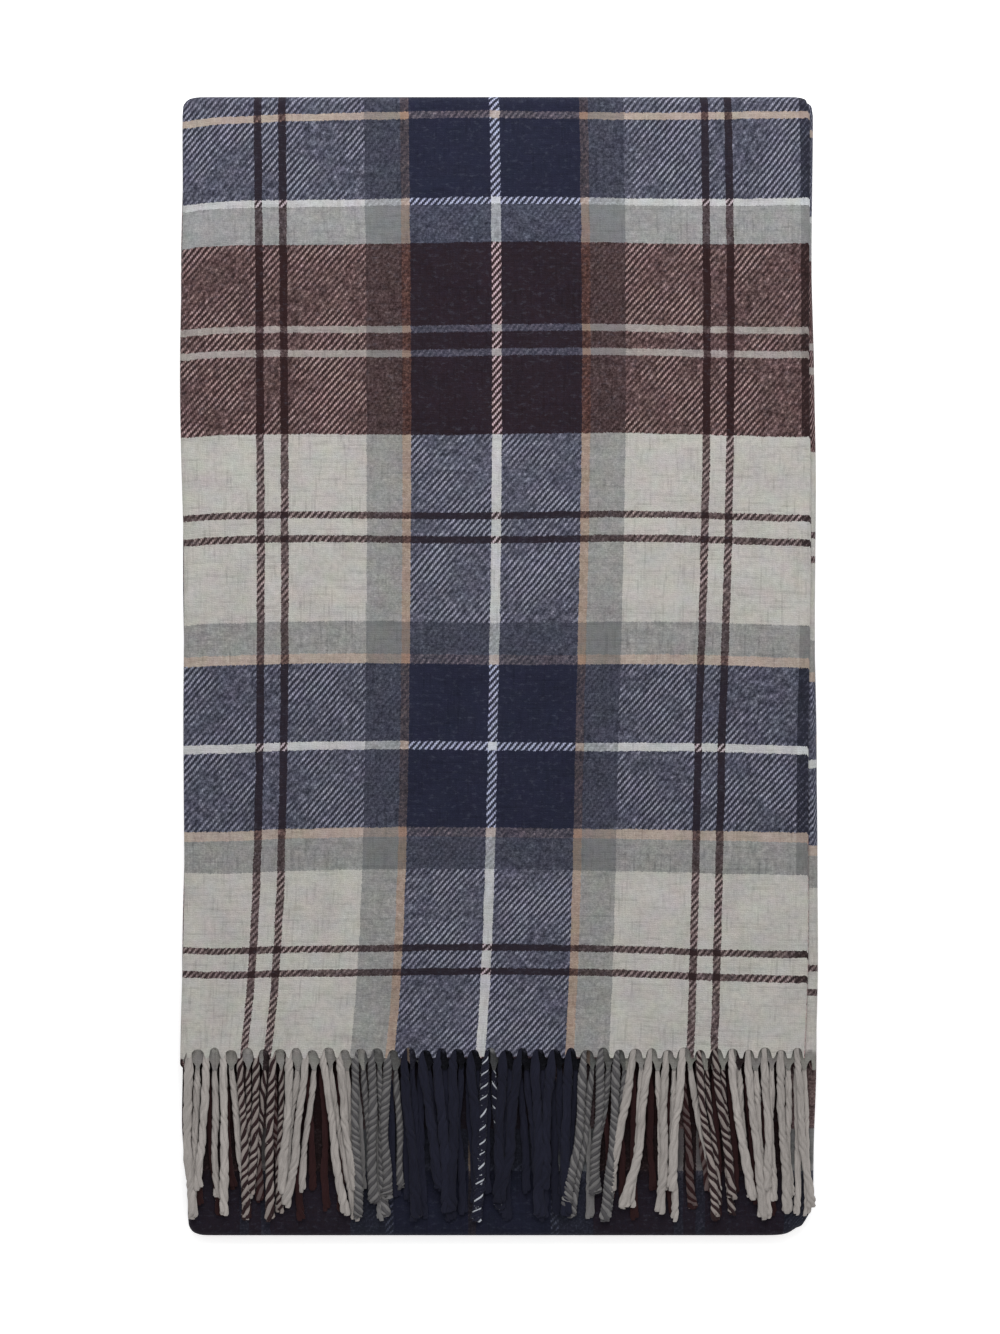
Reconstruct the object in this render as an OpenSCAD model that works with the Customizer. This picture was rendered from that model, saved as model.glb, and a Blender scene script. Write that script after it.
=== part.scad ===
// Folded throw blanket: one twill cloth with a twisted fringe at both ends.
// It is folded lengthwise in thirds, then across in thirds like a Z, and lies flat.
// +X runs across it, +Y points away from the fringe that shows, and +Z is up.
// The origin is the centre of the underside.

/* [Folded size] */
// Width over the two long folds
folded_w = 436; // [400:1:480]
// Length over the two cross folds
folded_l = 786; // [760:1:840]
// Radius of the soft corners, seen from above
corner_r = 6; // [3:0.5:9]

/* [Cloth] */
// Thickness of one layer of brushed cloth
cloth_t = 2.3; // [2.0:0.05:2.4]
// Air between two layers of the same panel
layer_gap = 0.2; // [0.1:0.05:0.3]
// Air between two panels
panel_gap = 0.3; // [0.2:0.05:0.4]
// Width of the selvedge along each long edge of the cloth
selvedge_w = 7; // [4:0.5:10]
// Length of the packed last picks at each woven end
end_w = 5; // [3:0.5:8]

/* [Edges that show] */
// From the far cross fold to the woven end of the face layer
face_len = 657; // [640:1:660]
// How far the two layers under the face reach past that end
layer_step = 12.5; // [8:0.5:16]
// From the right long fold in to the face selvedge, at the far fold
face_inset_far = 2.7; // [2:0.1:5]
// The same at the woven end
face_inset_end = 8.2; // [6:0.1:10]
// The same on the middle and base panels
hidden_inset = 4; // [3:0.5:8]

/* [Fringe] */
// Mean length of a tassel
tassel_len = 106; // [90:1:106]
// How much longer or shorter one tassel is than the mean
tassel_vary = 11; // [0:1:11]
// Thickness of a tassel on the face
face_tassel_d = 4.4; // [4:0.1:4.6]
// Thickness of a tassel in the tucked row under it
tucked_tassel_d = 5; // [4:0.1:5]
// Thickness of a tassel that lies pressed under another
pressed_tassel_d = 3.3; // [3:0.1:3.4]

/* [Hidden] */

$fn = 48;
eps = 0.01;

// The thirds of the cloth, in the order in which they lie in the base and top panels
CENTRE = 0;
RIGHT = 1;
LEFT = 2;
// The panels, from the bottom up. The middle one lies upside down.
BASE = 0;
MIDDLE = 1;
TOP = 2;

// Yarn colours, as the tassels and the plain parts of the cloth show them
light = "#b5b1ab";
grey = "#8b8d90";
navy = "#3a3d52";
maroon = "#5c4544";
marl = "#8f8480";
white = "#c9c9cc";

// Heights
layer_pitch = cloth_t + layer_gap;
panel_h = 3 * cloth_t + 2 * layer_gap;
panel_pitch = panel_h + panel_gap;
near_axis_z = panel_h + panel_gap / 2;
far_axis_z = near_axis_z + panel_pitch;
fold_r = near_axis_z;

// Long folds: the left one goes round all three layers, the right one round two
left_fold_r = panel_h / 2;
right_fold_r = cloth_t + layer_gap / 2;
x_left = -folded_w / 2 + left_fold_r;
x_right = folded_w / 2 - right_fold_r;
tuck_clearance = 0.5;

// Lengths along Y
y_near = -folded_l / 2 + fold_r;
y_far = folded_l / 2 - fold_r;
y_face_end = folded_l / 2 - face_len;
y_under_end = y_face_end - layer_step;
y_base_end = -y_face_end;

// The fringe on the face turns about a line just above its own tassels
fringe_gap = 0.3;
face_tassel_z = 2 * panel_pitch + layer_pitch + cloth_t + fringe_gap + face_tassel_d / 2;
tassel_count = 38;
tassel_pitch = (folded_w - face_inset_end) / tassel_count;
tassel_sides = 8;
// Air over and under a tassel that lies pressed between two layers
pressed_gap = 0.1;
// How far the tucked row's tassels stand above their own layer
tucked_lift = 1.2;
// Degrees from one tassel to the next, and from row to row, that scatter their lengths
tassel_turn = 137.5;
row_turn = 61;

// Which of a panel's three layers a third is in, counted from the bottom
function layer_of(panel, third) = panel == MIDDLE ? 2 - third : third;
// Height of the underside of a third
function z_of(panel, third) = panel * panel_pitch + layer_of(panel, third) * layer_pitch;
// The two ends along Y of a third: [near, far]
function y_span(panel, third) =
    panel == BASE ? [y_near, y_base_end] :
    panel == MIDDLE ? [y_near, y_far] :
    third == LEFT ? [y_face_end, y_far] : [y_under_end, y_far];
// The same without the woven end
function plain_span(panel, third) =
    y_span(panel, third) + [panel == TOP ? end_w : 0, panel == BASE ? -end_w : 0];
// The left third's free edge at the far and near ends of a panel
function free_edge(panel, far) =
    folded_w / 2 - (panel == TOP ? (far ? face_inset_far : face_inset_end) : hidden_inset);
// The length of tassel number k in a row
function tassel_length(k, row) =
    tassel_len + tassel_vary * sin(tassel_turn * k + row_turn * row);
// The middle of tassel number k; the tucked row lies between the others
function tassel_x(k, third) =
    -folded_w / 2 + (k + (third == RIGHT ? 1 : 0.5)) * tassel_pitch;

// A flat piece of cloth between two ends, whose right side may slant
module flat_cloth(left, right_near, right_far, y0, y1, z) {
    translate([0, 0, z])
        linear_extrude(cloth_t)
            polygon([[left, y0], [right_near, y0], [right_far, y1], [left, y1]]);
}

// The half ring that a layer makes as it turns round a fold, open to +X
module fold_section(r_out) {
    difference() {
        intersection() {
            circle(r = r_out);
            translate([-r_out, -r_out])
                square([r_out, 2 * r_out]);
        }
        circle(r = r_out - cloth_t);
    }
}

// A rectangle with round corners, between two x and two y values
module round_rect(x0, x1, y0, y1, r) {
    translate([x0 + r, y0])
        square([x1 - x0 - 2 * r, y1 - y0]);
    translate([x0, y0 + r])
        square([x1 - x0, y1 - y0 - 2 * r]);
    for (x = [x0 + r, x1 - r], y = [y0 + r, y1 - r])
        translate([x, y])
            circle(r = r);
}

// One third of one panel, without its selvedge, fold or woven end
module third(panel, which) {
    y = plain_span(panel, which);
    z = z_of(panel, which);
    color(which == CENTRE ? maroon : light) {
        if (which == CENTRE)
            flat_cloth(x_left, x_right, x_right, y[0], y[1], z);
        if (which == RIGHT)
            flat_cloth(x_left + tuck_clearance + selvedge_w, x_right, x_right, y[0], y[1], z);
        if (which == LEFT)
            flat_cloth(x_left, free_edge(panel, false) - selvedge_w,
                free_edge(panel, true) - selvedge_w, y[0], y[1], z);
    }
}

// The long fold on the left, which joins the centre and left thirds
module left_fold(panel) {
    y = y_span(panel, LEFT);
    color(light)
        translate([x_left, y[1], panel * panel_pitch + panel_h / 2])
            rotate([90, 0, 0])
                linear_extrude(y[1] - y[0])
                    fold_section(left_fold_r);
}

// The long fold on the right, which joins the centre and right thirds
module right_fold(panel) {
    y = y_span(panel, RIGHT);
    z = min(z_of(panel, CENTRE), z_of(panel, RIGHT)) + right_fold_r;
    color(light)
        translate([x_right, y[1], z])
            rotate([90, 0, 0])
                linear_extrude(y[1] - y[0])
                    mirror([1, 0])
                        fold_section(right_fold_r);
}

// The selvedge of the left third, which is the cloth's free edge on the right
module left_selvedge(panel) {
    y = plain_span(panel, LEFT);
    near = free_edge(panel, false);
    far = free_edge(panel, true);
    color(light)
        translate([0, 0, z_of(panel, LEFT)])
            linear_extrude(cloth_t)
                polygon([
                    [near - selvedge_w, y[0]],
                    [near, y[0]],
                    [far, y[1]],
                    [far - selvedge_w, y[1]],
                ]);
}

// The selvedge of the right third, which is tucked into the left fold
module right_selvedge(panel) {
    y = plain_span(panel, RIGHT);
    x0 = x_left + tuck_clearance;
    x1 = x0 + selvedge_w;
    color(light)
        flat_cloth(x0, x1, x1, y[0], y[1], z_of(panel, RIGHT));
}

// The packed last picks of a third, where its tassels begin
module woven_end(panel, which) {
    y = y_span(panel, which);
    y0 = panel == TOP ? y[0] : y[1] - end_w;
    x0 = which == RIGHT ? x_left + tuck_clearance : x_left;
    x1 = which == LEFT ? free_edge(panel, false) : x_right;
    color(which == CENTRE ? maroon : light)
        flat_cloth(x0, x1, x1, y0, y0 + end_w, z_of(panel, which));
}

// A third as it turns round the near cross fold, from the base panel to the middle one
module near_fold(which) {
    r_out = near_axis_z - z_of(BASE, which);
    x0 = which == CENTRE ? -folded_w / 2 : which == RIGHT ? x_left + tuck_clearance : x_left;
    x1 = which == CENTRE ? folded_w / 2 : which == RIGHT ? x_right : folded_w / 2 - hidden_inset;
    color(which == CENTRE ? navy : light)
        intersection() {
            translate([x0, y_near, near_axis_z])
                rotate([90, 0, 90])
                    linear_extrude(x1 - x0)
                        fold_section(r_out);
            if (which == CENTRE)
                linear_extrude(2 * near_axis_z + eps)
                    round_rect(x0, x1, -folded_l / 2, folded_l / 2, corner_r);
            else
                translate([x0, -folded_l / 2, 0])
                    cube([x1 - x0, folded_l, 2 * near_axis_z]);
        }
}

// A third as it turns round the far cross fold, from the middle panel to the top one
module far_fold(which) {
    r_out = z_of(TOP, which) + cloth_t - far_axis_z;
    x0 = which == LEFT ? -folded_w / 2 : which == RIGHT ? x_left + tuck_clearance : x_left;
    x1 = which == LEFT ? free_edge(TOP, true) : x_right;
    z0 = far_axis_z - fold_r;
    color(which == CENTRE ? maroon : navy)
        intersection() {
            translate([x0, y_far, far_axis_z])
                rotate([90, 0, 90])
                    linear_extrude(x1 - x0)
                        mirror([1, 0])
                            fold_section(r_out);
            translate([0, 0, z0 - eps])
                if (which == LEFT)
                    linear_extrude(2 * fold_r + 2 * eps)
                        round_rect(x0, x1, -folded_l / 2, folded_l / 2, corner_r);
                else
                    translate([x0, -folded_l / 2, 0])
                        cube([x1 - x0, folded_l, 2 * fold_r + 2 * eps]);
        }
}

// One tassel from its root along Y. toward is -1 for the near side and 1 for the far side.
module tassel(x, y, z, d, length, toward) {
    translate([x, y, z])
        rotate([-90 * toward, 0, 0])
            rotate([0, 0, 180 / tassel_sides])
                cylinder(d = d, h = length, $fn = tassel_sides);
}

// Tassels number first to last of the row on the face
module face_tassels(first, last, paint) {
    color(paint)
        for (k = [first : last])
            tassel(tassel_x(k, LEFT), y_face_end - fringe_gap, face_tassel_z, face_tassel_d,
                tassel_length(k, LEFT), -1);
}

// Tassels of the tucked third on the top panel, by their numbers
module tucked_tassels(numbers, paint) {
    z = z_of(TOP, RIGHT) + cloth_t - tucked_tassel_d / 2 + tucked_lift;
    color(paint)
        for (k = numbers)
            tassel(tassel_x(k, RIGHT), y_under_end, z, tucked_tassel_d,
                tassel_length(k, RIGHT) - layer_step, -1);
}

// Tassels of the centre third on the top panel, by their numbers
module under_tassels(numbers, paint) {
    z = z_of(TOP, CENTRE) + pressed_tassel_d / 2 + pressed_gap;
    color(paint)
        for (k = numbers)
            tassel(tassel_x(k, CENTRE), y_under_end, z, pressed_tassel_d,
                tassel_length(k, CENTRE) - layer_step, -1);
}

// The far fringe of the cloth, which lies hidden under the middle panel
module base_tassels(which) {
    d = which == RIGHT ? tucked_tassel_d : pressed_tassel_d;
    z = which == CENTRE ? d / 2 + pressed_gap :
        which == RIGHT ? panel_h / 2 : panel_h - d / 2 - pressed_gap;
    color(which == CENTRE ? maroon : light)
        for (k = [0 : tassel_count - 1])
            tassel(tassel_x(k, which), y_base_end, z, d, tassel_length(k, which + 3), 1);
}

// The numbers of the tassels of one colour, from stretches of [first, last]
function numbers(stretches) = [for (s = stretches) for (k = [s[0] : s[1]]) k];

third(BASE, CENTRE);  // base_centre_third
third(BASE, RIGHT);  // base_right_third
third(BASE, LEFT);  // base_left_third
left_fold(BASE);  // base_left_fold
right_fold(BASE);  // base_right_fold
left_selvedge(BASE);  // base_left_selvedge
right_selvedge(BASE);  // base_right_selvedge
third(MIDDLE, CENTRE);  // middle_centre_third
third(MIDDLE, RIGHT);  // middle_right_third
third(MIDDLE, LEFT);  // middle_left_third
left_fold(MIDDLE);  // middle_left_fold
right_fold(MIDDLE);  // middle_right_fold
left_selvedge(MIDDLE);  // middle_left_selvedge
right_selvedge(MIDDLE);  // middle_right_selvedge
third(TOP, CENTRE);  // top_centre_third
third(TOP, RIGHT);  // top_right_third
third(TOP, LEFT);  // top_left_third
left_fold(TOP);  // top_left_fold
right_fold(TOP);  // top_right_fold
left_selvedge(TOP);  // top_left_selvedge
right_selvedge(TOP);  // top_right_selvedge
near_fold(CENTRE);  // near_fold_centre_third
near_fold(RIGHT);  // near_fold_right_third
near_fold(LEFT);  // near_fold_left_third
far_fold(CENTRE);  // far_fold_centre_third
far_fold(RIGHT);  // far_fold_right_third
far_fold(LEFT);  // far_fold_left_third
woven_end(BASE, CENTRE);  // base_centre_end
woven_end(BASE, RIGHT);  // base_right_end
woven_end(BASE, LEFT);  // base_left_end
woven_end(TOP, CENTRE);  // top_centre_end
woven_end(TOP, RIGHT);  // top_right_end
woven_end(TOP, LEFT);  // top_left_end
face_tassels(0, 2, light);  // face_tassels_light_a
face_tassels(3, 5, marl);  // face_tassels_marled_a
face_tassels(6, 9, light);  // face_tassels_light_b
face_tassels(10, 12, grey);  // face_tassels_grey_a
face_tassels(13, 17, navy);  // face_tassels_navy_a
face_tassels(18, 18, white);  // face_tassel_white
face_tassels(19, 23, navy);  // face_tassels_navy_b
face_tassels(24, 26, grey);  // face_tassels_grey_b
face_tassels(27, 30, light);  // face_tassels_light_c
face_tassels(31, 32, marl);  // face_tassels_marled_b
face_tassels(33, 37, light);  // face_tassels_light_d
tucked_tassels(numbers([[0, 2], [6, 9], [27, 30], [33, 37]]), light);  // tucked_tassels_light
tucked_tassels(numbers([[3, 5], [31, 32]]), marl);  // tucked_tassels_marled
tucked_tassels(numbers([[10, 12], [24, 26]]), grey);  // tucked_tassels_grey
tucked_tassels(numbers([[13, 17], [19, 23]]), navy);  // tucked_tassels_navy
tucked_tassels(numbers([[18, 18]]), white);  // tucked_tassel_white
under_tassels(numbers([[0, 3], [6, 9], [25, 29], [32, 36]]), maroon);  // under_tassels_maroon
under_tassels(numbers([[4, 5], [30, 31]]), marl);  // under_tassels_pink
under_tassels(numbers([[10, 11], [23, 24]]), grey);  // under_tassels_silver
under_tassels(numbers([[12, 22]]), navy);  // under_tassels_navy
under_tassels(numbers([[37, 37]]), light);  // under_tassel_light
base_tassels(CENTRE);  // base_centre_tassels
base_tassels(RIGHT);  // base_right_tassels
base_tassels(LEFT);  // base_left_tassels
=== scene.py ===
"""Folded plaid throw blanket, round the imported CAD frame.

The cloth is one sheet folded lengthwise into thirds, so a cut across it is a flat spiral of three
plies: the left third on the face, the right third tucked inside it, and the centre third at the
back. That roll is folded twice more across its length, into a base, a middle and a top panel.
Lengths are in millimetres until a mesh is built.
"""

import math
from dataclasses import dataclass

import bpy
import numpy as np
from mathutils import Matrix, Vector


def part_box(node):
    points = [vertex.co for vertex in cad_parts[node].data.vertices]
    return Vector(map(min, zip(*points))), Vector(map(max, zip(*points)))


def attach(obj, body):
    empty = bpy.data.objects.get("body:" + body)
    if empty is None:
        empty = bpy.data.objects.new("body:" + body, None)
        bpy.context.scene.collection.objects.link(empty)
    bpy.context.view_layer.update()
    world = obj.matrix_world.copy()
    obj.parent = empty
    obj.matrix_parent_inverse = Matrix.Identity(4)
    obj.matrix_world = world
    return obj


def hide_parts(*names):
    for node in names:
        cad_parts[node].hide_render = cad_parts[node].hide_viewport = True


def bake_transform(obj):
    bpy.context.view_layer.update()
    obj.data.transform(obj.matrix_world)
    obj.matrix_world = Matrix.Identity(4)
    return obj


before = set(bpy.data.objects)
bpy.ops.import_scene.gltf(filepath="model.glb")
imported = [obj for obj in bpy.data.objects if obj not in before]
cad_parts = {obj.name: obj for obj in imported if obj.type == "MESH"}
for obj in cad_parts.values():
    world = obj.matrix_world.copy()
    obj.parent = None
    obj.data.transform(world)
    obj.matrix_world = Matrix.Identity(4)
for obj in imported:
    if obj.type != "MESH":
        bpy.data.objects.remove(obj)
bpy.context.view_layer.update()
MM = 0.001

# ------ places, read from the CAD nodes


def node_box(name):
    """A CAD node's lowest and highest corners in millimetres."""
    low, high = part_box(name)
    return np.array(low) / MM, np.array(high) / MM


BASE_CENTRE = node_box("base_centre_third")
TOP_CENTRE = node_box("top_centre_third")
TOP_FACE = node_box("top_left_third")
TOP_END = node_box("top_left_end")
HIDDEN_END = node_box("top_right_end")
BASE_END = node_box("base_centre_end")
TUCKED = node_box("top_right_selvedge")

THICK = BASE_CENTRE[1][2] - BASE_CENTRE[0][2]  # one ply of cloth
HALF = THICK / 2
X_LEFT, X_RIGHT = BASE_CENTRE[0][0], BASE_CENTRE[1][0]  # where the side folds begin
X_TUCK = TUCKED[0][0]  # free edge of the tucked third
Y_FAR, Y_NEAR = TOP_CENTRE[1][1], BASE_CENTRE[0][1]
Y_FACE_END, Y_HIDDEN_END, Y_BASE_END = TOP_END[0][1], HIDDEN_END[0][1], BASE_END[1][1]
PANEL_TOP = TOP_FACE[1][2]
PANEL_PITCH = TOP_CENTRE[0][2] / 2
PLY_PITCH = TUCKED[0][2] - TOP_CENTRE[0][2]
PANEL_GAP = PANEL_PITCH - 2 * PLY_PITCH - THICK
H_CENTRE, H_RIGHT, H_LEFT = HALF, HALF + PLY_PITCH, HALF + 2 * PLY_PITCH  # ply heights in a panel
NEAR_AXIS = PANEL_PITCH - PANEL_GAP / 2
FAR_AXIS = 2 * PANEL_PITCH - PANEL_GAP / 2
SELVEDGE_FAR = node_box("top_left_selvedge")[1][0]  # face selvedge at the far fold
SELVEDGE_END = TOP_END[1][0]  # and at the fringe
SELVEDGE_HIDDEN = node_box("middle_left_selvedge")[1][0]
SIDE = abs(node_box("top_left_fold")[0][0])  # half of the folded width
TASSELS = 38
END_STEP = 8.2  # how much narrower than the fold the face is at its fringe
TASSEL_PITCH = (2 * SIDE - END_STEP) / TASSELS
LAYER_STEP = Y_FACE_END - Y_HIDDEN_END  # how far the other thirds reach past the face

# ------ the cloth

END_PITCH = 1.061  # one warp end, across the cloth
PICK_PITCH = 1.221  # one weft pick, along it
CLOTH_W = 1301.4
SELVEDGE_W = 7.0
PIVOT_U = 218.4  # first white warp stripe, from the face selvedge
PIVOT_V = 209.8  # first white weft stripe, from the fringe

# Warp yarn, weft yarn, ends and picks, from one turning stripe to the other. The order then runs
# back, in both directions.
SETT = [
    ("white", "white", 3.1, 2.3),
    ("navy", "navy", 51.9, 43.9),
    ("rust", "orange", 5.5, 5.4),
    ("grey", "grey", 22.9, 18.3),
    ("ground", "ground", 50.1, 43.4),
    ("line", "line", 5.0, 3.9),
    ("ground", "ground", 10.4, 9.6),
    ("line", "line", 5.0, 3.9),
    ("ground", "ground", 52.8, 45.0),
    ("maroon", "maroon", 51.5, 44.0),
    ("pink", "pink", 6.0, 3.9),
    ("maroon", "maroon", 8.0, 9.6),
    ("pink", "pink", 6.0, 3.9),
    ("maroon", "maroon", 51.5, 46.2),
    ("silver", "silver", 22.5, 21.4),
    ("white", "white", 5.0, 3.9),
    ("navy", "navy", 48.0, 44.5),
    ("rust", "orange", 2.5, 2.0),
]
WARP_HALF = sum(row[2] for row in SETT)
WEFT_HALF = sum(row[3] for row in SETT)

# Reflectance of each yarn, linear.
YARN = {
    "ground": (0.430, 0.414, 0.388),
    "white": (0.485, 0.508, 0.556),
    "silver": (0.178, 0.183, 0.195),
    "grey": (0.158, 0.160, 0.162),
    "orange": (0.315, 0.225, 0.185),
    "rust": (0.235, 0.145, 0.105),
    "navy": (0.0165, 0.0180, 0.0360),
    "maroon": (0.0250, 0.0100, 0.0105),
    "line": (0.0270, 0.0150, 0.0160),
    "pink": (0.230, 0.190, 0.185),
    "tassel": (0.366, 0.337, 0.318),
    "marl": (0.262, 0.226, 0.211),
    "ash": (0.165, 0.160, 0.160),
    "smoke": (0.082, 0.079, 0.083),
    "ink": (0.0132, 0.0138, 0.0250),
    "faded": (0.095, 0.070, 0.068),
}


def smooth(a, b, x):
    """0 before a, 1 after b, easing between."""
    t = np.clip((x - a) / (b - a), 0, 1)
    return t * t * (3 - 2 * t)


def fade(distance, reach):
    """1 at an edge, falling off with the distance in from it."""
    return np.exp(-np.maximum(distance, 0) / reach)


def hump(x, centre, reach):
    return np.exp(-(((x - centre) / reach) ** 2))


def ripple(x, y, seed):
    """A slow wave over the plane, from -1 to 1, built of a few sines."""
    total = np.zeros(np.broadcast(x, y).shape)
    for k in range(4):
        turn = seed * 1.7 + k * 2.4
        length = 150 / (1 + 0.8 * k)
        along = (x * math.cos(turn) + y * math.sin(turn)) / length
        total = total + np.sin(along * 2 + seed * 3.1 + k) / (1 + k)
    return total / 2.08


# ------ shader helper


class Tree:
    """Adds nodes to a material."""

    def __init__(self, material):
        self.nodes = material.node_tree.nodes
        self.links = material.node_tree.links

    def put(self, socket, value):
        """Links a socket to value where that is one, and sets it otherwise."""
        if isinstance(value, bpy.types.NodeSocket):
            self.links.new(value, socket)
        else:
            socket.default_value = value

    def fill(self, node, inputs):
        for key, value in dict(inputs).items():
            self.put(node.inputs[key], value)

    def add(self, kind, inputs=(), **settings):
        node = self.nodes.new("ShaderNode" + kind)
        for key, value in settings.items():
            setattr(node, key, value)
        self.fill(node, inputs)
        return node

    def math(self, operation, *values, clamp=False):
        node = self.add("Math", operation=operation, use_clamp=clamp)
        for k, value in enumerate(values):
            self.put(node.inputs[k], value)
        return node.outputs[0]

    def line(self, value, slope, offset, clamp=False):
        """value times slope, plus offset."""
        return self.math("MULTIPLY_ADD", value, slope, offset, clamp=clamp)

    def times(self, a, b):
        return self.math("MULTIPLY", a, b)

    def minus(self, a, b):
        return self.math("SUBTRACT", a, b)

    def mix(self, factor, a, b, blend="MIX"):
        node = self.add("Mix", data_type="RGBA", blend_type=blend)
        for k, value in ((0, factor), (6, a), (7, b)):
            self.put(node.inputs[k], value)
        return node.outputs[2]

    def noise(self, vector, scale, detail=2.0, rough=0.5):
        inputs = {"Vector": vector, "Scale": scale, "Detail": detail, "Roughness": rough}
        return self.add("TexNoise", inputs).outputs[0]

    def attribute(self, name):
        return self.add("Attribute", attribute_name=name).outputs["Fac"]

    def shaded(self, colour, shade):
        """The colour made lighter or darker by a factor."""
        grey = self.add("CombineColor", {0: shade, 1: shade, 2: shade}).outputs[0]
        return self.mix(1.0, colour, grey, "MULTIPLY")

    def vector(self, x, y, z=0.0):
        return self.add("CombineXYZ", {0: x, 1: y, 2: z}).outputs[0]

    def remap(self, value, a, b, low, high):
        node = self.add("MapRange", {0: value, 1: a, 2: b, 3: low, 4: high})
        return node.outputs[0]

    def power(self, colour, exponent):
        return self.add("Gamma", {0: colour, 1: exponent}).outputs[0]


def new_material(name):
    material = bpy.data.materials.new(name)
    material.use_nodes = True
    tree = Tree(material)
    shader = material.node_tree.nodes["Principled BSDF"]
    return material, tree, shader


def wool_shader(tree, shader, colour, roughness, bump, sheen):
    tree.fill(shader, {"Base Color": colour, "Roughness": roughness, "Normal": bump.outputs[0]})
    tree.fill(shader, {"Specular IOR Level": 0.08, "Sheen Weight": sheen, "Sheen Roughness": 0.4})


def rgba(name):
    return (*YARN[name], 1.0)


def stripes(tree, position, yarn, count):
    """The yarn's colour at a position in threads from the first turning stripe. yarn and count are
    columns of SETT."""
    colour = rgba(SETT[0][yarn])
    at = 0.0
    for before, row in zip(SETT, SETT[1:]):
        at += before[count]
        beyond = tree.math("GREATER_THAN", position, at)
        colour = tree.mix(beyond, colour, rgba(row[yarn]))
    return colour


# ------ materials


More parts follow.
